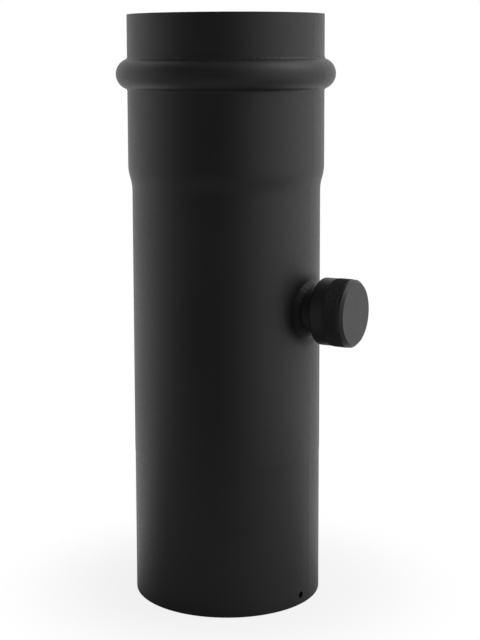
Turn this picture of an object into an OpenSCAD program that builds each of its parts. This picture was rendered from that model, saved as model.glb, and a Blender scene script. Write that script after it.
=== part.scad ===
// Stove flue pipe with a screw-capped test port. Millimetres, +Z up.
// The origin is on the pipe's axis, in the plane of its plain lower end.
// The test port points along +X.

/* [Pipe] */
// Outside diameter of the plain pipe
pipe_d = 80; // [60:1:130]
// Thickness of the rolled steel sheet
sheet_t = 1.2; // [0.6:0.1:2]
// Length over all, from the plain end to the socket's rim
pipe_len = 248; // [230:1:1000]
// Length of the calibrated end that goes into the next socket
spigot_len = 60; // [30:1:80]
// How much smaller in radius the calibrated end is than the pipe
spigot_draw = 0.1; // [0.05:0.05:0.3]
// Length of the slope from the calibrated end to the full pipe
spigot_blend = 3; // [2:0.5:6]

/* [Socket] */
// Depth of the socket, from its rim to the joggle
socket_depth = 63; // [55:1:90]
// Radial play of a calibrated end in the socket
socket_play = 0.55; // [0.2:0.05:0.6]
// Length of the joggle that steps the socket down to the pipe
joggle_len = 11; // [8:1:20]
// Distance from the rim to the middle of the gasket bead
bead_depth = 24.8; // [20:0.2:32]
// Outside radius of the bead's round section
bead_roll_r = 6.7; // [5:0.1:8]
// How far the bead stands out of the socket
bead_rise = 4.8; // [3:0.1:5]
// Outside radius of the bend on each side of the bead
bead_root_r = 1; // [0.5:0.1:1.5]

/* [Lip seal] */
// Play between the seal's heel and the inside of the bead
heel_play = 0.05; // [0.02:0.01:0.2]
// How far the pressed lips stand into the socket's bore
lip_reach = 0.2; // [0.05:0.05:0.25]
// Height of each lip from its root to its tip
lip_height = 1.1; // [0.8:0.1:2]
// Thickness of a lip at its root
lip_root_t = 1.5; // [1:0.1:2]
// Thickness of a lip at its tip
lip_tip_t = 0.5; // [0.3:0.1:0.8]
// Distance from one lip to the next
lip_pitch = 2.9; // [2.5:0.1:3.5]

/* [Test port] */
// Height of the port's axis above the plain end
port_z = 125.5; // [100:0.5:140]
// Outside diameter of the threaded stub
stub_d = 20; // [16:0.5:24]
// Diameter of the hole for the probe
probe_d = 13; // [8:0.5:14]
// Distance from the pipe's axis to the stub's sealing face, beyond the pipe's own radius
stub_reach = 16.5; // [14:0.5:24]
// Chamfer on the stub's outer edge
stub_chamfer = 0.9; // [0.4:0.1:1.2]
// Play of the stub's foot in its hole through the wall
foot_play = 0.1; // [0.05:0.05:0.3]
// How far the foot's weld stands out round the stub, at the stub's sides
foot_w = 2.5; // [1:0.1:4]
// Height of the weld over the pipe's wall, on the line where the wall stands highest
foot_h = 2.3; // [0.8:0.1:3]

/* [Screw cap] */
// Diameter over the knurl's crests
cap_d = 28.4; // [26:0.2:34]
// Length of the cap
cap_len = 15; // [13.5:0.5:18]
// Depth of the cap's bore from its open end to its floor
cap_bore_depth = 12; // [10.5:0.5:12.5]
// Radial running clearance between the stub and the cap
thread_play = 0.06; // [0.02:0.01:0.1]
// Lead-in chamfer at the mouth of the bore
cap_mouth_chamfer = 1; // [0.4:0.1:1.5]
// Chamfer round the cap's outer face
cap_face_chamfer = 1.2; // [0.5:0.1:2]
// Length of the smooth collar at the cap's back
collar_len = 6.2; // [4:0.1:7]
// Radius of the collar's rounded back edge
collar_round = 1; // [0.5:0.1:1.6]
// How far the collar and the front land lie inside the knurl's crests
land_drop = 0.2; // [0.1:0.05:0.4]
// Length of the smooth land between the knurl and the face's chamfer
front_land = 0.9; // [0.5:0.1:2]

/* [Knurl] */
// Number of diamonds round the cap
knurl_count = 80; // [48:2:90]
// Length of one diamond along the cap's axis
knurl_pitch = 1.35; // [1.2:0.05:2.4]
// Depth of the knurl from crest to root
knurl_depth = 0.4; // [0.2:0.05:0.5]

/* [Sealing washer] */
// Thickness of the washer in the cap
washer_t = 1.45; // [1:0.05:2]
// Radial play between the washer and the cap's bore
washer_play = 0.35; // [0.3:0.05:0.6]

/* [Hanging hole] */
// Diameter of the small hole near the plain end
hang_d = 2.8; // [2:0.1:4]
// Height of its centre above the plain end
hang_z = 4; // [3.5:0.1:12]
// Angle of the small hole round the pipe, from the port towards -Y
hang_angle = 9.4; // [0:0.1:60]

/* [Hidden] */
$fn = 128;

// Radii of the pipe's wall
pipe_r = pipe_d / 2;
pipe_in_r = pipe_r - sheet_t;
spigot_r = pipe_r - spigot_draw;
socket_in_r = spigot_r + socket_play;
socket_r = socket_in_r + sheet_t;

// Heights along the pipe
bead_z = pipe_len - bead_depth;
joggle_top = pipe_len - socket_depth;
joggle_low = joggle_top - joggle_len;

// The bead's section is an arc about this radius, bent back into the wall by an arc on each side
bead_c = socket_r + bead_rise - bead_roll_r;
bead_in_r = bead_roll_r - sheet_t;
root_c = socket_r + bead_root_r;
root_dz = sqrt(pow(bead_roll_r + bead_root_r, 2) - pow(root_c - bead_c, 2));

// The joggle is two equal arcs of the sheet's outside, one bent each way
step_h = socket_r - pipe_r;
joggle_r = (step_h * step_h + joggle_len * joggle_len) / (4 * step_h);

// Lip seal
heel_r = bead_in_r - heel_play;
lip_tip_r = socket_in_r - lip_reach;
lip_root_r = lip_tip_r + lip_height;

// Port pieces, in distances from the pipe's axis
stub_r = stub_d / 2;
stub_end = pipe_r + stub_reach;
weld_r = stub_r + foot_w;
weld_low = sqrt(pipe_r * pipe_r - weld_r * weld_r);
weld_slope = foot_w / (pipe_r + foot_h - weld_low);
seat_play = 0.03;
cap_floor = stub_end + washer_t + 2 * seat_play;
cap_back = cap_floor - cap_bore_depth;
cap_r = cap_d / 2;
land_r = cap_r - land_drop;
cap_bore_r = stub_r + thread_play;

// Knurled band, with one half diamond from each row of points to the next
band_start = collar_len;
band_len = cap_len - collar_len - front_land - cap_face_chamfer;
knurl_rows = 2 * round(band_len / knurl_pitch);
knurl_cols = 2 * knurl_count;
knurl_root_r = cap_r - knurl_depth;
knurl_bury = 0.4;

// Solids that cut through a wall reach this far past it
past = 1;

// Places a module drawn about +Z from the pipe's axis along the port
module at_port() {
    translate([0, 0, port_z])
        rotate([0, 90, 0])
            children();
}

// A band of the section between two heights, from the axis out to radius r
module band(r, z0, z1) {
    translate([0, z0]) square([r, z1 - z0]);
}

// The joggle's share of the section: two arcs that meet on the line between their centres.
// Below that line the upper arc's disc runs on inside the lower share.
module joggle_section(inset) {
    high_c = [socket_r - joggle_r, joggle_top];
    low_c = [pipe_r + joggle_r, joggle_low];
    band(high_c[0] + past, joggle_low, joggle_top);
    intersection() {
        band(socket_r, joggle_low, joggle_top);
        translate(high_c) circle(joggle_r - inset);
    }
    difference() {
        polygon([high_c, [high_c[0], joggle_low], low_c]);
        translate(low_c) circle(joggle_r + inset);
    }
}

// What one face of the sheet encloses. All its bends share centres with the other face.
module sheet_face(inset) {
    r_pipe = pipe_r - inset;
    r_socket = socket_r - inset;
    band(r_pipe - spigot_draw, 0, spigot_len);
    polygon([
        [0, spigot_len],
        [r_pipe - spigot_draw, spigot_len],
        [r_pipe, spigot_len + spigot_blend],
        [0, spigot_len + spigot_blend]
    ]);
    band(r_pipe, spigot_len + spigot_blend, joggle_low);
    joggle_section(inset);
    band(r_socket, joggle_top, pipe_len);
    translate([0, bead_z]) {
        intersection() {
            translate([bead_c, 0]) circle(bead_roll_r - inset);
            translate([0, -bead_roll_r]) square([socket_r + bead_rise, 2 * bead_roll_r]);
        }
        bead_root(bead_root_r + inset);
        mirror([0, 1]) bead_root(bead_root_r + inset);
    }
}

// Half of the bead's foot: what lies inside the line between the two centres, less the bend
module bead_root(bend_r) {
    difference() {
        polygon([[0, 0], [bead_c, 0], [root_c, root_dz], [0, root_dz]]);
        translate([root_c, root_dz]) circle(bend_r);
    }
}

// Rolled steel pipe: spigot, plain tube, joggle, socket and gasket bead in one sheet
module pipe_body() {
    color([0.13, 0.13, 0.13])
    difference() {
        rotate_extrude()
            difference() {
                sheet_face(0);
                sheet_face(sheet_t);
            }
        at_port()
            translate([0, 0, pipe_in_r / 2])
                cylinder(r = stub_r + foot_play, h = pipe_r);
        rotate([0, 0, -hang_angle])
            translate([pipe_in_r - past, 0, hang_z])
                rotate([0, 90, 0])
                    cylinder(d = hang_d, h = sheet_t + 2 * past);
    }
}

// One lip of the seal, pressed down towards the plain end by a pipe in the socket
module lip_section(z) {
    half_t = lip_root_t / 2;
    translate([0, z])
        polygon([
            [lip_root_r, half_t],
            [lip_tip_r, -lip_height],
            [lip_tip_r, -lip_height - lip_tip_t],
            [lip_root_r, -half_t],
            [lip_root_r + lip_root_t, -half_t],
            [lip_root_r + lip_root_t, half_t]
        ]);
}

// Silicone ring: a round heel that fills the bead and three lips, in its working shape
module lip_seal() {
    color([0.08, 0.08, 0.085])
    translate([0, 0, bead_z])
        rotate_extrude() {
            difference() {
                translate([bead_c, 0]) circle(heel_r);
                translate([0, -heel_r]) square([lip_root_r, 2 * heel_r]);
            }
            for (i = [-1:1]) lip_section(i * lip_pitch + lip_height / 2);
        }
}

// Outline of the stub, in distances from the pipe's axis: foot, weld, shank and sealing end
module stub_outline() {
    polygon([
        [0, 0],
        [stub_r, 0],
        [stub_r, weld_low - past],
        [weld_r + weld_slope * past, weld_low - past],
        [stub_r, pipe_r + foot_h],
        [stub_r, stub_end - stub_chamfer],
        [stub_r - stub_chamfer, stub_end],
        [0, stub_end]
    ]);
}

// Turned nipple: its foot fills the hole in the wall and is coped to the flue inside, and the
// fillet weld round it is coped to the pipe's outside
module port_stub() {
    color([0.17, 0.17, 0.17])
    difference() {
        at_port() rotate_extrude() stub_outline();
        cylinder(r = pipe_in_r, h = pipe_len);
        difference() {
            cylinder(r = pipe_r, h = pipe_len);
            at_port() cylinder(r = stub_r, h = stub_end);
        }
        at_port() cylinder(d = probe_d, h = stub_end + past);
    }
}

// Radius of the knurl's grid at column i and row j: crest and root points alternate like a
// chessboard, and both end rows dip under the smooth lands
function knurl_point_r(i, j) =
    j == 0 || j == knurl_rows ? knurl_root_r
    : (i + j) % 2 == 0 ? cap_r
    : knurl_root_r;

// Diamond-knurled sleeve. Each square of the grid is folded along the line between its two
// root points, which makes every crest a four-sided pyramid.
module knurl_sleeve() {
    step = band_len / knurl_rows;
    inner_r = knurl_root_r - knurl_bury;
    rows = knurl_rows + 1;
    outer = [
        for (j = [0:knurl_rows], i = [0:knurl_cols - 1])
        let (a = 360 * i / knurl_cols, r = knurl_point_r(i, j))
        [r * cos(a), r * sin(a), j * step]
    ];
    inner = [
        for (z = [0, band_len], i = [0:knurl_cols - 1])
        let (a = 360 * i / knurl_cols)
        [inner_r * cos(a), inner_r * sin(a), z]
    ];
    low = rows * knurl_cols;
    high = low + knurl_cols;
    top = knurl_rows * knurl_cols;
    skin = [
        for (j = [0:knurl_rows - 1], i = [0:knurl_cols - 1])
        let (
            k = (i + 1) % knurl_cols,
            a = j * knurl_cols + i,
            b = j * knurl_cols + k,
            c = a + knurl_cols,
            d = b + knurl_cols
        )
        for (f = (i + j) % 2 == 0 ? [[a, c, b], [b, c, d]] : [[a, c, d], [a, d, b]])
        f
    ];
    ends = [
        for (i = [0:knurl_cols - 1])
        let (k = (i + 1) % knurl_cols)
        for (f = [
            [i, k, low + k], [i, low + k, low + i],
            [top + k, top + i, high + i], [top + k, high + i, high + k],
            [low + i, low + k, high + k], [low + i, high + k, high + i]
        ])
        f
    ];
    polyhedron(concat(outer, inner), concat(skin, ends));
}

// Outline of the cap's smooth body, from its open back at zero to its face
module cap_outline() {
    core_r = knurl_root_r - knurl_bury / 2;
    square([land_r - collar_round, collar_len]);
    translate([land_r - collar_round, collar_round]) circle(collar_round);
    band(land_r, collar_round, collar_len);
    band(core_r, collar_round, cap_len - collar_round);
    band(land_r, band_start + band_len, cap_len - cap_face_chamfer);
    polygon([
        [0, cap_len - cap_face_chamfer],
        [land_r, cap_len - cap_face_chamfer],
        [land_r - cap_face_chamfer, cap_len],
        [0, cap_len]
    ]);
}

// Turned screw cap: rounded collar, diamond knurl, front land and chamfered plain face
module port_cap() {
    color([0.24, 0.24, 0.24])
    at_port()
        translate([0, 0, cap_back])
            difference() {
                union() {
                    rotate_extrude() cap_outline();
                    translate([0, 0, band_start]) knurl_sleeve();
                }
                translate([0, 0, -past])
                    cylinder(r = cap_bore_r, h = cap_bore_depth + past);
                translate([0, 0, -past])
                    cylinder(
                        r1 = cap_bore_r + cap_mouth_chamfer + past,
                        r2 = cap_bore_r,
                        h = cap_mouth_chamfer + past
                    );
            }
}

// Flat washer on the floor of the cap's bore
module cap_seal() {
    color([0.5, 0.5, 0.48])
    at_port()
        translate([0, 0, cap_floor - seat_play - washer_t])
            difference() {
                cylinder(r = cap_bore_r - washer_play, h = washer_t);
                translate([0, 0, -past]) cylinder(d = probe_d, h = washer_t + 2 * past);
            }
}

pipe_body();
lip_seal();
port_stub();
port_cap();
cap_seal();
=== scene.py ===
import math

import bmesh
import bpy
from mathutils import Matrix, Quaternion, Vector, noise


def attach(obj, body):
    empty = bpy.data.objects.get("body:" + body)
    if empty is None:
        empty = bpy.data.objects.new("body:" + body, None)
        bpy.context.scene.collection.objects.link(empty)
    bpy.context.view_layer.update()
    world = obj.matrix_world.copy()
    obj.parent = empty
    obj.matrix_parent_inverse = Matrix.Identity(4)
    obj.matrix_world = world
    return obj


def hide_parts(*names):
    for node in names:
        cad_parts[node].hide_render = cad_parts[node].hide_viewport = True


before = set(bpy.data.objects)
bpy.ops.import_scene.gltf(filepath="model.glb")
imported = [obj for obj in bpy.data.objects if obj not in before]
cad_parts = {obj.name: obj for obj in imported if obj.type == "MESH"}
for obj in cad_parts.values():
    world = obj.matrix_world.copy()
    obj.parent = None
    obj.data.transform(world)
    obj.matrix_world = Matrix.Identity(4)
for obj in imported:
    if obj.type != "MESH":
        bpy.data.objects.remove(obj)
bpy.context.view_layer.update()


# PIPE
# One tube of 1.2 mm sheet steel: plain end below, joggle, socket and rolled gasket bead above.
# Its back seam is welded and planished flush, and matt black stove paint is baked on all over.

PORT_HEIGHT = 0.1255
PAINT_BLACK = (0.0100, 0.0100, 0.0102, 1)
PAINT_DUSTED = (0.0150, 0.0149, 0.0147, 1)
PAINT_SHINE = 0.5
DRY_SHINE = 0.22
DRY_PAINT_FROM = 0.0120
DRY_PAINT_TO = 0.0185
MIST_SIZE = 0.045
PEEL_SIZE = 0.0022
SAND_SIZE = 0.0009
PEEL_DEPTH = 0.000012
SAND_DEPTH = 0.000010
NIBS_PER_METRE = 62.0
NIB_GREY = (0.06, 0.06, 0.06, 1)
NIB_HEIGHT = 0.00003
SEAM_HALF_WIDTH = 0.0008
SEAM_RIPPLE = 0.0016
SEAM_HEIGHT = 0.00004


def new_finish(name, gloss):
    """A material with one plain shader, whose roughness is gloss until a node takes it over."""
    finish = bpy.data.materials.new(name)
    finish.use_nodes = True
    shader = finish.node_tree.nodes["Principled BSDF"]
    shader.inputs["Roughness"].default_value = gloss
    return finish, finish.node_tree, shader


def position_on(tree):
    """Where a point lies on the piece, in metres, in the object's own frame."""
    return tree.nodes.new("ShaderNodeTexCoord").outputs["Object"]


def coordinates(tree):
    """The separate X, Y and Z of a point on the piece."""
    place = tree.nodes.new("ShaderNodeSeparateXYZ")
    tree.links.new(position_on(tree), place.inputs["Vector"])
    return place


def grain(tree, size, detail=3.0, roughness=0.5, stretch=(1, 1, 1)):
    """Cloudy grain from 0 to 1, whose blotches are about size metres across."""
    scaled = tree.nodes.new("ShaderNodeMapping")
    scaled.inputs["Scale"].default_value = [s / size for s in stretch]
    tree.links.new(position_on(tree), scaled.inputs["Vector"])
    clouds = tree.nodes.new("ShaderNodeTexNoise")
    clouds.inputs["Scale"].default_value = 1.0
    clouds.inputs["Detail"].default_value = detail
    clouds.inputs["Roughness"].default_value = roughness
    tree.links.new(scaled.outputs["Vector"], clouds.inputs["Vector"])
    return clouds.outputs["Fac"]


def remap(tree, value, low, high, to_low, to_high):
    """Takes value from low..high to to_low..to_high with soft ends."""
    node = tree.nodes.new("ShaderNodeMapRange")
    node.interpolation_type = "SMOOTHSTEP"
    tree.links.new(value, node.inputs["Value"])
    for socket, number in zip(
        ("From Min", "From Max", "To Min", "To Max"), (low, high, to_low, to_high)
    ):
        node.inputs[socket].default_value = number
    return node.outputs["Result"]


def sums(tree, operation, a, b):
    """One step of arithmetic between two values, each a socket or a plain number."""
    node = tree.nodes.new("ShaderNodeMath")
    node.operation = operation
    for socket, value in zip(node.inputs, (a, b)):
        if isinstance(value, (int, float)):
            socket.default_value = value
        else:
            tree.links.new(value, socket)
    return node.outputs["Value"]


def between(tree, share, colour_a, colour_b):
    """A colour from colour_a to colour_b; each is a socket or a plain colour."""
    node = tree.nodes.new("ShaderNodeMix")
    node.data_type = "RGBA"
    tree.links.new(share, node.inputs["Factor"])
    for index, colour in ((6, colour_a), (7, colour_b)):
        if isinstance(colour, tuple):
            node.inputs[index].default_value = colour
        else:
            tree.links.new(colour, node.inputs[index])
    return node.outputs[2]


def away_from(tree, place, axes, centre=(0.0, 0.0)):
    """Distance from the line through centre that runs square to the two named axes."""
    squares = []
    for axis, offset in zip(axes, centre):
        side = sums(tree, "SUBTRACT", place.outputs[axis], offset)
        squares.append(sums(tree, "MULTIPLY", side, side))
    return sums(tree, "POWER", sums(tree, "ADD", squares[0], squares[1]), 0.5)


def relief(tree, height, depth, below=None):
    """Bump of the given depth in metres, laid over the relief below it."""
    node = tree.nodes.new("ShaderNodeBump")
    node.inputs["Strength"].default_value = 1.0
    node.inputs["Distance"].default_value = depth
    tree.links.new(height, node.inputs["Height"])
    if below is not None:
        tree.links.new(below, node.inputs["Normal"])
    return node.outputs["Normal"]


def paint_node(node, finish):
    """Puts the finish on a CAD solid in place of its plain one."""
    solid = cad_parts[node]
    solid.data.materials.clear()
    solid.data.materials.append(finish)


pipe_paint, tree, shader = new_finish("stove_paint_on_pipe", 0.45)
place = coordinates(tree)

# Close round the port's weld the spray lies thin and dry, so there it shines less.
from_port = away_from(tree, place, ("Y", "Z"), (0.0, PORT_HEIGHT))
dry = remap(tree, from_port, DRY_PAINT_FROM, DRY_PAINT_TO, 1.0, 0.0)
dry = sums(tree, "MULTIPLY", dry, sums(tree, "GREATER_THAN", place.outputs["X"], 0.0))
shine = remap(tree, dry, 0.0, 1.0, PAINT_SHINE, DRY_SHINE)
tree.links.new(shine, shader.inputs["Specular IOR Level"])

# The paint has a faint mist of dust and a few nibs caught in it.
mist = remap(tree, grain(tree, MIST_SIZE, 4.0), 0.3, 0.75, 0.0, 1.0)
nib_cells = tree.nodes.new("ShaderNodeTexVoronoi")
nib_cells.inputs["Scale"].default_value = NIBS_PER_METRE
tree.links.new(position_on(tree), nib_cells.inputs["Vector"])
nibs = remap(tree, nib_cells.outputs["Distance"], 0.008, 0.022, 1.0, 0.0)
tone = between(tree, mist, PAINT_BLACK, PAINT_DUSTED)
tone = between(tree, sums(tree, "MULTIPLY", nibs, 0.5), tone, NIB_GREY)
tree.links.new(tone, shader.inputs["Base Color"])

# Sandy grain and soft orange peel break up its sheen.
sand = grain(tree, SAND_SIZE, 2.0)
matt = remap(tree, sand, 0.25, 0.75, 0.40, 0.50)
matt = sums(tree, "ADD", matt, remap(tree, mist, 0.0, 1.0, 0.0, 0.04))
tree.links.new(matt, shader.inputs["Roughness"])
surface = relief(tree, grain(tree, PEEL_SIZE, 2.0), PEEL_DEPTH)
surface = relief(tree, sand, SAND_DEPTH, surface)
surface = relief(tree, nibs, NIB_HEIGHT, surface)

# The flush seam still shows a little at the back, opposite the port.
across = sums(tree, "ABSOLUTE", place.outputs["Y"], 0.0)
seam = remap(tree, across, SEAM_HALF_WIDTH * 0.4, SEAM_HALF_WIDTH, 1.0, 0.0)
seam = sums(tree, "MULTIPLY", seam, sums(tree, "LESS_THAN", place.outputs["X"], 0.0))
ripple = grain(tree, SEAM_RIPPLE, 1.0, 0.5, (0.3, 0.3, 1))
seam = sums(tree, "MULTIPLY", seam, remap(tree, ripple, 0.3, 0.7, 0.7, 1.0))
surface = relief(tree, seam, SEAM_HEIGHT, surface)
tree.links.new(surface, shader.inputs["Normal"])
paint_node("pipe_body", pipe_paint)


# LIP SEAL
# A ring of black silicone that snaps into the bead. Three lips press on the pipe pushed in.
# It is moulded, so it has a soft even sheen and a trace of talc in its hollows.

SILICONE_BLACK = (0.010, 0.010, 0.011, 1)
TALC_GREY = (0.045, 0.044, 0.043, 1)

silicone, tree, shader = new_finish("black_silicone", 0.4)
talc = remap(tree, grain(tree, 0.006, 4.0, 0.6), 0.45, 0.8, 0.0, 0.35)
tree.links.new(
    between(tree, talc, SILICONE_BLACK, TALC_GREY), shader.inputs["Base Color"]
)
tree.links.new(
    remap(tree, grain(tree, 0.003, 3.0), 0.3, 0.7, 0.34, 0.48), shader.inputs["Roughness"]
)
tree.links.new(relief(tree, grain(tree, 0.0008, 2.0), 0.000008), shader.inputs["Normal"])
paint_node("lip_seal", silicone)


# TEST PORT STUB
# A nipple turned from bar: foot through the wall, plain shank, and a 20 x 1.5 mm right-hand
# thread up to the sealing face. It is welded in before the painting.

PIPE_RADIUS = 0.040
FLUE_RADIUS = 0.0388
STUB_RADIUS = 0.010
PROBE_RADIUS = 0.0065
STUB_END = 0.0565
END_CHAMFER = 0.0009
BORE_CHAMFER = 0.0003
THREAD_START = 0.0452
THREAD_PITCH = 0.0015
THREAD_DEPTH = 0.00081
CREST_FLAT = 0.0625
FLANK = 0.3125
STUB_COLUMNS = 144
ROWS_PER_TURN = 16
RUBBED_STEEL = (0.11, 0.11, 0.11, 1)
RUBBED_DEPTH = 0.00012


def at_port(x, radius, angle):
    """A point round the port's axis, at x from the pipe's axis."""
    return Vector((x, radius * math.cos(angle), PORT_HEIGHT + radius * math.sin(angle)))


def coped_x(wall_radius, radius, angle):
    """How far out the pipe's wall stands under a point round the port."""
    return math.sqrt(wall_radius**2 - (radius * math.cos(angle)) ** 2)


def ring(mesh, spot, columns):
    """A closed ring of vertices; spot(angle) gives each one's place."""
    return [mesh.verts.new(spot(2 * math.pi * i / columns)) for i in range(columns)]


def flat_ring(mesh, x, radius):
    """A round ring square to the port's axis."""
    return ring(mesh, lambda angle: at_port(x, radius, angle), STUB_COLUMNS)


def coped_ring(mesh, wall_radius, radius):
    """A round ring bent to follow the pipe's wall."""
    return ring(
        mesh,
        lambda angle: at_port(coped_x(wall_radius, radius, angle), radius, angle),
        STUB_COLUMNS,
    )


def skin(mesh, rings):
    """Joins each ring to the next with a band of faces."""
    for near, far in zip(rings, rings[1:]):
        for i in range(len(near)):
            k = (i + 1) % len(near)
            mesh.faces.new((near[i], near[k], far[k], far[i]))


def thread_height(phase):
    """Share of the thread's depth that is cut away at a phase, 0 at the crest, 1 in the root."""
    off_crest = abs((phase + 0.5) % 1.0 - 0.5)
    cut = min(max((off_crest - CREST_FLAT) / FLANK, 0.0), 1.0)
    return cut * cut * (3 - 2 * cut) * 0.35 + cut * 0.65


def thread_rows(mesh, x_from, x_to, radius_at):
    """A band from x_from to x_to whose rows run along the thread, and whose ends are flat."""
    turns = (x_to - x_from) / THREAD_PITCH
    rows = []
    for j in range(-ROWS_PER_TURN, math.ceil(turns * ROWS_PER_TURN) + 1):
        row = []
        for i in range(STUB_COLUMNS + 1):
            share = i / STUB_COLUMNS
            x = x_from + THREAD_PITCH * (share + j / ROWS_PER_TURN)
            x = min(max(x, x_from), x_to)
            phase = (x - THREAD_START) / THREAD_PITCH - share
            row.append(
                mesh.verts.new(at_port(x, radius_at(x, phase), 2 * math.pi * share))
            )
        rows.append(row)
    for low, high in zip(rows, rows[1:]):
        for i in range(STUB_COLUMNS):
            mesh.faces.new((low[i], low[i + 1], high[i + 1], high[i]))


def finished_piece(mesh, name, finish, smooth_angle=35):
    """Turns the mesh under way into a piece: welded at its seams, smooth but for its edges."""
    bmesh.ops.remove_doubles(mesh, verts=mesh.verts, dist=2e-7)
    bmesh.ops.dissolve_degenerate(mesh, edges=mesh.edges, dist=1e-7)
    bmesh.ops.recalc_face_normals(mesh, faces=mesh.faces)
    for face in mesh.faces:
        face.smooth = True
    for edge in mesh.edges:
        edge.smooth = edge.calc_face_angle(math.pi) < math.radians(smooth_angle)
    data = bpy.data.meshes.new(name)
    mesh.to_mesh(data)
    mesh.free()
    piece = bpy.data.objects.new(name, data)
    bpy.context.scene.collection.objects.link(piece)
    data.materials.append(finish)
    return piece


def stub_radius(x, phase):
    """The thread's outside: it runs out into the shank and ends in a 45 degree chamfer."""
    run_in = min(max((x - THREAD_START) / THREAD_PITCH, 0.0), 1.0)
    cut = THREAD_DEPTH * thread_height(phase) * run_in
    chamfered = STUB_RADIUS - END_CHAMFER + (STUB_END - x)
    return min(STUB_RADIUS - cut, chamfered)


def sealing_edge(angle):
    """Where the thread meets the sealing face."""
    phase = (STUB_END - THREAD_START) / THREAD_PITCH - angle / (2 * math.pi)
    return at_port(STUB_END, stub_radius(STUB_END, phase), angle)


stub = bmesh.new()
foot = coped_ring(stub, FLUE_RADIUS, PROBE_RADIUS)
skin(stub, [
    foot,
    coped_ring(stub, FLUE_RADIUS, STUB_RADIUS),
    coped_ring(stub, PIPE_RADIUS, STUB_RADIUS),
    flat_ring(stub, THREAD_START, STUB_RADIUS),
])
thread_rows(stub, THREAD_START, STUB_END, stub_radius)
skin(stub, [
    ring(stub, sealing_edge, STUB_COLUMNS),
    flat_ring(stub, STUB_END, PROBE_RADIUS + BORE_CHAMFER),
    flat_ring(stub, STUB_END - BORE_CHAMFER, PROBE_RADIUS),
    foot,
])

# The cap has rubbed the paint off the thread's crests here and there.
stub_paint, tree, shader = new_finish("stove_paint_on_stub", 0.45)
place = coordinates(tree)
out = away_from(tree, place, ("Y", "Z"), (0.0, PORT_HEIGHT))
on_crest = remap(tree, out, STUB_RADIUS - RUBBED_DEPTH, STUB_RADIUS - 0.00002, 0.0, 1.0)
on_thread = remap(tree, place.outputs["X"], THREAD_START, THREAD_START + 0.0008, 0.0, 1.0)
patchy = remap(tree, grain(tree, 0.0012), 0.35, 0.65, 0.2, 0.8)
rubbed = sums(tree, "MULTIPLY", sums(tree, "MULTIPLY", on_crest, on_thread), patchy)
tree.links.new(
    between(tree, rubbed, PAINT_BLACK, RUBBED_STEEL), shader.inputs["Base Color"]
)
tree.links.new(rubbed, shader.inputs["Metallic"])
tree.links.new(remap(tree, rubbed, 0.0, 1.0, 0.46, 0.32), shader.inputs["Roughness"])
tree.links.new(
    relief(tree, grain(tree, SAND_SIZE, 2.0), SAND_DEPTH), shader.inputs["Normal"]
)

port_stub = finished_piece(stub, "threaded_stub", stub_paint)
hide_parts("port_stub")
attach(port_stub, "pipe")


# WELD ROUND THE STUB
# A single hand-laid fillet that runs round the saddle between stub and pipe, 2.4 mm up each.
# Its ripples are what the torch leaves at each step; the paint has filled them almost level.

WELD_LEG = 0.0024
WELD_UNEVEN = 0.0003
WELD_LUMPS = 0.00016
WELD_CROWN = 0.00014
WELD_RIPPLES = 66
RIPPLE_HEIGHT = 0.00002
WELD_ROOT = 0.0002
WELD_COLUMNS = 480
WELD_STEPS = 12


def weld_spot(share):
    """A point across the fillet, from its toe on the pipe to its toe on the stub."""

    def spot(angle):
        ripple = math.sin(angle * WELD_RIPPLES + 1.5 * math.sin(angle * 3)) * RIPPLE_HEIGHT
        hand = Vector((math.cos(angle) * 2, math.sin(angle) * 2, 0.7))
        leg = WELD_LEG + noise.noise(hand) * WELD_UNEVEN + noise.noise(hand * 3) * WELD_LUMPS
        swell = math.sin(math.pi * share) * (WELD_CROWN + ripple)
        radius = STUB_RADIUS - 0.00005 + leg * (1 - share) + swell
        stand = leg * share + swell - 0.00003 * (1 - share)
        return at_port(coped_x(PIPE_RADIUS, radius, angle) + stand, radius, angle)

    return spot


def weld_root(angle):
    """The fillet's hidden edge, in the corner between stub and pipe."""
    radius = STUB_RADIUS - WELD_ROOT
    return at_port(coped_x(PIPE_RADIUS, radius, angle) - WELD_ROOT, radius, angle)


weld = bmesh.new()
weld_rings = [ring(weld, weld_spot(s / WELD_STEPS), WELD_COLUMNS) for s in range(WELD_STEPS + 1)]
weld_rings.append(ring(weld, weld_root, WELD_COLUMNS))
weld_rings.append(weld_rings[0])
skin(weld, weld_rings)
port_weld = finished_piece(weld, "stub_weld", pipe_paint, 60)
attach(port_weld, "pipe")


# SCREW CAP
# Turned from bar: a smooth collar, a diamond-knurled grip, a chamfer and a plain face. It is
# coated in the same black, a little smoother than the pipe, over fine turning marks.

CAP_CREST_RADIUS = 0.0142
CAP_LAND_RADIUS = 0.0140
KNURL_FROM = 0.05221
KNURL_TO = 0.05891
COAT_BLACK = (0.0105, 0.0105, 0.0107, 1)
COAT_DUSTED = (0.0135, 0.0135, 0.0135, 1)
KNURL_DUST = (0.038, 0.038, 0.038, 1)
# Lighter grey for the knurl's crests: part handling wear, part painted highlight.
WORN_AND_HIGHLIT_GREY = (0.060, 0.060, 0.060, 1)
TURNING_MARKS_PER_METRE = 9000.0

cap_coat, tree, shader = new_finish("satin_black_on_cap", 0.42)
place = coordinates(tree)
out = away_from(tree, place, ("Y", "Z"), (0.0, PORT_HEIGHT))
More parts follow.
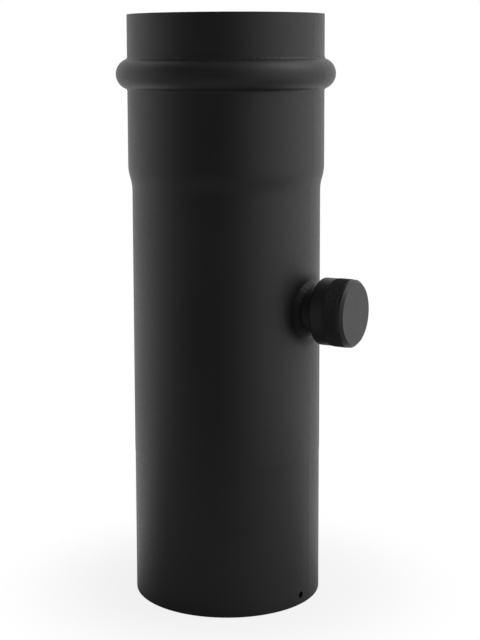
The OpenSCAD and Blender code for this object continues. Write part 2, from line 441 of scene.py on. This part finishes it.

# Dust settles in the knurl. Its crests are painted a lighter grey, partly as wear from hands and
# partly as a painted highlight.
on_knurl = sums(tree, "GREATER_THAN", out, CAP_LAND_RADIUS - 0.00025)
past_collar = sums(tree, "GREATER_THAN", place.outputs["X"], KNURL_FROM)
before_land = sums(tree, "LESS_THAN", place.outputs["X"], KNURL_TO)
on_knurl = sums(tree, "MULTIPLY", on_knurl, past_collar)
on_knurl = sums(tree, "MULTIPLY", on_knurl, before_land)
# Mask for the crests' lighter grey, which is part wear and part painted highlight on every crest.
worn_and_highlit = remap(tree, out, CAP_CREST_RADIUS - 0.00016, CAP_CREST_RADIUS, 0.0, 0.5)
mist = remap(tree, grain(tree, 0.009, 4.0), 0.3, 0.7, 0.0, 1.0)
tone = between(tree, mist, COAT_BLACK, COAT_DUSTED)
tone = between(tree, sums(tree, "MULTIPLY", on_knurl, 0.5), tone, KNURL_DUST)
tone = between(tree, worn_and_highlit, tone, WORN_AND_HIGHLIT_GREY)
tree.links.new(tone, shader.inputs["Base Color"])
tree.links.new(
    remap(tree, grain(tree, 0.0025, 3.0), 0.3, 0.7, 0.445, 0.475), shader.inputs["Roughness"]
)
turning = tree.nodes.new("ShaderNodeTexNoise")
turning.noise_dimensions = "1D"
turning.inputs["Scale"].default_value = 1.0
tree.links.new(sums(tree, "MULTIPLY", out, TURNING_MARKS_PER_METRE), turning.inputs["W"])
surface = relief(tree, turning.outputs["Fac"], 0.000003)
surface = relief(tree, grain(tree, 0.0008, 2.0), 0.000008, surface)
tree.links.new(surface, shader.inputs["Normal"])
paint_node("port_cap", cap_coat)

CAP_THREAD_FROM = 0.0476
CAP_THREAD_TO = 0.0563
CAP_THREAD_PLAY = 0.0001
CAP_THREAD_RUN_OUT = 0.0008
CAP_BORE_RADIUS = 0.0101
CAP_THREAD_BACK = 0.0104


def cap_thread_radius(x, phase):
    """The cap's own thread: the stub's shape with 0.1 mm of play, run out at both ends."""
    full = STUB_RADIUS + CAP_THREAD_PLAY - THREAD_DEPTH * thread_height(phase)
    from_end = min(x - CAP_THREAD_FROM, CAP_THREAD_TO - x)
    share = max(min(from_end / CAP_THREAD_RUN_OUT, 1.0), 0.0)
    return full * share + CAP_BORE_RADIUS * (1 - share)


inner = bmesh.new()
thread_rows(inner, CAP_THREAD_FROM, CAP_THREAD_TO, cap_thread_radius)
skin(inner, [
    flat_ring(inner, CAP_THREAD_FROM, CAP_BORE_RADIUS),
    flat_ring(inner, CAP_THREAD_FROM, CAP_THREAD_BACK),
    flat_ring(inner, CAP_THREAD_TO, CAP_THREAD_BACK),
    flat_ring(inner, CAP_THREAD_TO, CAP_BORE_RADIUS),
])
cap_thread = finished_piece(inner, "cap_inner_thread", cap_coat)
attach(cap_thread, "cap")


# SEALING WASHER
# A flat ring punched from fibre-filled rubber. It lies on the floor of the cap's bore and is
# nipped on the stub's end when the cap is tight, so its faces are dull and a little dusty.

WASHER_DARK = (0.030, 0.030, 0.030, 1)
WASHER_FLECK = (0.075, 0.073, 0.070, 1)

washer_rubber, tree, shader = new_finish("grey_washer_rubber", 0.7)
fleck = remap(tree, grain(tree, 0.0006, 3.0, 0.7), 0.45, 0.7, 0.0, 1.0)
tree.links.new(between(tree, fleck, WASHER_DARK, WASHER_FLECK), shader.inputs["Base Color"])
tree.links.new(remap(tree, grain(tree, 0.002), 0.3, 0.7, 0.6, 0.8), shader.inputs["Roughness"])
tree.links.new(relief(tree, grain(tree, 0.0005, 2.0), 0.00001), shader.inputs["Normal"])
paint_node("cap_seal", washer_rubber)


# TABLE AND LIGHT
# The pipe stands on a round white table. The room is white at its back and sides and dark in
# front, which gives the paint its dark stripe, and one soft box hangs high at the right.

CAMERA_TURN = math.radians(29.8)
TABLE_RADIUS = 0.27
TABLE_HUB = 0.1
TABLE_SIDES = 96
TABLE_GREY = (0.50, 0.50, 0.50, 1)
CEILING_TONE = (0.25, 0.25, 0.25, 1)
GROUND_TONE = (0.30, 0.30, 0.30, 1)
WALL_TONES = [
    (-180, 0.9), (-110, 0.9), (-80, 0.54), (-45, 0.13),
    (8, 0.06), (45, 0.68), (90, 1.15), (180, 0.9),
]

towards_camera = Vector((math.sin(CAMERA_TURN), -math.cos(CAMERA_TURN), 0))
to_the_right = Vector((math.cos(CAMERA_TURN), math.sin(CAMERA_TURN), 0))


def white_where_seen(tree, plain, by_camera, in_gloss):
    """Mixes a shader with plain white where a ray from the camera or from a gloss meets it."""
    rays = tree.nodes.new("ShaderNodeLightPath")
    seen = sums(tree, "MAXIMUM", rays.outputs["Is Glossy Ray"], rays.outputs["Is Transmission Ray"])
    seen = sums(tree, "MULTIPLY", seen, in_gloss)
    by_eye = sums(tree, "MULTIPLY", rays.outputs["Is Camera Ray"], by_camera)
    seen = sums(tree, "MAXIMUM", seen, by_eye)
    in_world = plain.bl_idname == "ShaderNodeBackground"
    white = tree.nodes.new("ShaderNodeBackground" if in_world else "ShaderNodeEmission")
    white.inputs["Color"].default_value = (1, 1, 1, 1)
    white.inputs["Strength"].default_value = 1.0
    mix = tree.nodes.new("ShaderNodeMixShader")
    tree.links.new(seen, mix.inputs[0])
    tree.links.new(plain.outputs[0], mix.inputs[1])
    tree.links.new(white.outputs[0], mix.inputs[2])
    return mix.outputs[0]


def along(tree, place, direction):
    """How far a place or a ray goes along a direction."""
    node = tree.nodes.new("ShaderNodeVectorMath")
    node.operation = "DOT_PRODUCT"
    tree.links.new(place, node.inputs[0])
    node.inputs[1].default_value = direction
    return node.outputs["Value"]


def table_ring(radius):
    """A round ring of the table's top."""
    return ring(
        table, lambda a: Vector((radius * math.cos(a), radius * math.sin(a), 0)), TABLE_SIDES
    )


table = bmesh.new()
centre = table.verts.new((0, 0, 0))
hub = table_ring(TABLE_HUB)
for i in range(TABLE_SIDES):
    table.faces.new((centre, hub[i], hub[(i + 1) % TABLE_SIDES]))
skin(table, [hub, table_ring(TABLE_RADIUS)])

# The white is a little weaker close to the pipe, where its shadow shows, and ends inside it.
table_white, tree, shader = new_finish("white_table", 0.9)
tree.nodes.remove(shader)
matt = tree.nodes.new("ShaderNodeBsdfDiffuse")
matt.inputs["Color"].default_value = TABLE_GREY
far = away_from(tree, coordinates(tree), ("X", "Y"))
outside = remap(tree, far, 0.0382, 0.0392, 0.0, 1.0)
swept = sums(tree, "MULTIPLY", remap(tree, far, 0.04, 0.11, 0.86, 1.0), outside)
nearer = along(tree, position_on(tree), towards_camera)
behind = sums(tree, "MULTIPLY", remap(tree, nearer, -0.06, 0.035, 1.0, 0.0), outside)
surface = white_where_seen(tree, matt, swept, behind)
tree.links.new(surface, tree.nodes["Material Output"].inputs["Surface"])
floor = finished_piece(table, "table", table_white)

world = bpy.data.worlds.new("studio")
bpy.context.scene.world = world
world.use_nodes = True
tree = world.node_tree
tree.nodes.clear()
toward = tree.nodes.new("ShaderNodeTexCoord").outputs["Generated"]
height = along(tree, toward, (0, 0, 1))
ahead = along(tree, toward, towards_camera)
rightward = along(tree, toward, to_the_right)

# The walls' tones by their bearing from the camera, in degrees, left to right. The tones go on
# after all the places, because a ramp sorts its stops as they move.
bearing = sums(tree, "ARCTAN2", rightward, ahead)
share = sums(tree, "ADD", sums(tree, "DIVIDE", bearing, 2 * math.pi), 0.5)
walls = tree.nodes.new("ShaderNodeValToRGB")
walls.color_ramp.interpolation = "EASE"
while len(walls.color_ramp.elements) < len(WALL_TONES):
    walls.color_ramp.elements.new(0.5)
for stop, (angle, tone) in zip(walls.color_ramp.elements, WALL_TONES):
    stop.position = angle / 360 + 0.5
for stop, (angle, tone) in zip(walls.color_ramp.elements, WALL_TONES):
    stop.color = (tone, tone, tone, 1)
tree.links.new(share, walls.inputs["Fac"])
above = remap(tree, height, 0.7, 1.0, 0.0, 1.0)
room_tone = between(tree, above, walls.outputs["Color"], CEILING_TONE)
below = remap(tree, height, -0.65, -0.3, 1.0, 0.0)
room_tone = between(tree, below, room_tone, GROUND_TONE)

# The left wall stands low, the room darkens underfoot, and it is brightest at eye level and up.
low_wall = sums(
    tree, "MULTIPLY",
    remap(tree, height, 0.15, 0.6, 0.0, 0.7), remap(tree, rightward, -0.5, 0.1, 1.0, 0.0),
)
underfoot = remap(tree, height, -0.95, -0.6, 0.5, 0.0)
dimmed = sums(tree, "SUBTRACT", 1.0, sums(tree, "MAXIMUM", low_wall, underfoot))
dimmed = sums(tree, "MULTIPLY", dimmed, remap(tree, height, -0.2, 0.05, 1.0, 1.12))
room = tree.nodes.new("ShaderNodeBackground")
tree.links.new(room_tone, room.inputs["Color"])
tree.links.new(dimmed, room.inputs["Strength"])
behind = remap(tree, ahead, -0.35, -0.05, 1.0, 0.0)
surface = white_where_seen(tree, room, 1.0, behind)
output = tree.nodes.new("ShaderNodeOutputWorld")
tree.links.new(surface, output.inputs["Surface"])

BOX_SIDE = 0.8
BOX_WATTS = 3.0
BOX_PLACE = to_the_right * 0.9 + Vector((0, 0, 1.1))
BOX_AIM = Vector((0, 0, 0.1))

panel = bpy.data.lights.new("high_right_box", "AREA")
panel.shape = "RECTANGLE"
panel.size = BOX_SIDE
panel.size_y = BOX_SIDE
panel.energy = BOX_WATTS
soft_box = bpy.data.objects.new("high_right_box", panel)
bpy.context.scene.collection.objects.link(soft_box)
soft_box.location = BOX_PLACE
soft_box.rotation_euler = (BOX_AIM - BOX_PLACE).to_track_quat("-Z", "Y").to_euler()


# PHOTOGRAPH'S VIEW
# 0.60 m from the pipe's axis, 16 mm below the rim and 29.8 degrees round from the port's side.
# It looks down a little, with the frame slid down so that the whole pipe is in it.

CAMERA_DISTANCE = 0.60
CAMERA_HEIGHT = 0.232
CAMERA_TILT = math.radians(6.84)
CAMERA_LEAN = -0.0037
FRAME_HEIGHT = 640

view_data = bpy.data.cameras.new("camera")
view_data.sensor_width = 36
view_data.lens = 79.425
view_data.shift_x = 13.6 / FRAME_HEIGHT
view_data.shift_y = -98 / FRAME_HEIGHT
camera = bpy.data.objects.new("camera", view_data)
bpy.context.scene.collection.objects.link(camera)
camera.location = towards_camera * CAMERA_DISTANCE + Vector((0, 0, CAMERA_HEIGHT))
line_of_sight = -towards_camera * math.cos(CAMERA_TILT) - Vector((0, 0, math.sin(CAMERA_TILT)))
camera.rotation_mode = "QUATERNION"
lean = Quaternion((0, 0, 1), CAMERA_LEAN)
camera.rotation_quaternion = line_of_sight.to_track_quat("-Z", "Y") @ lean
bpy.context.scene.camera = camera
bpy.context.scene.view_settings.view_transform = "Standard"
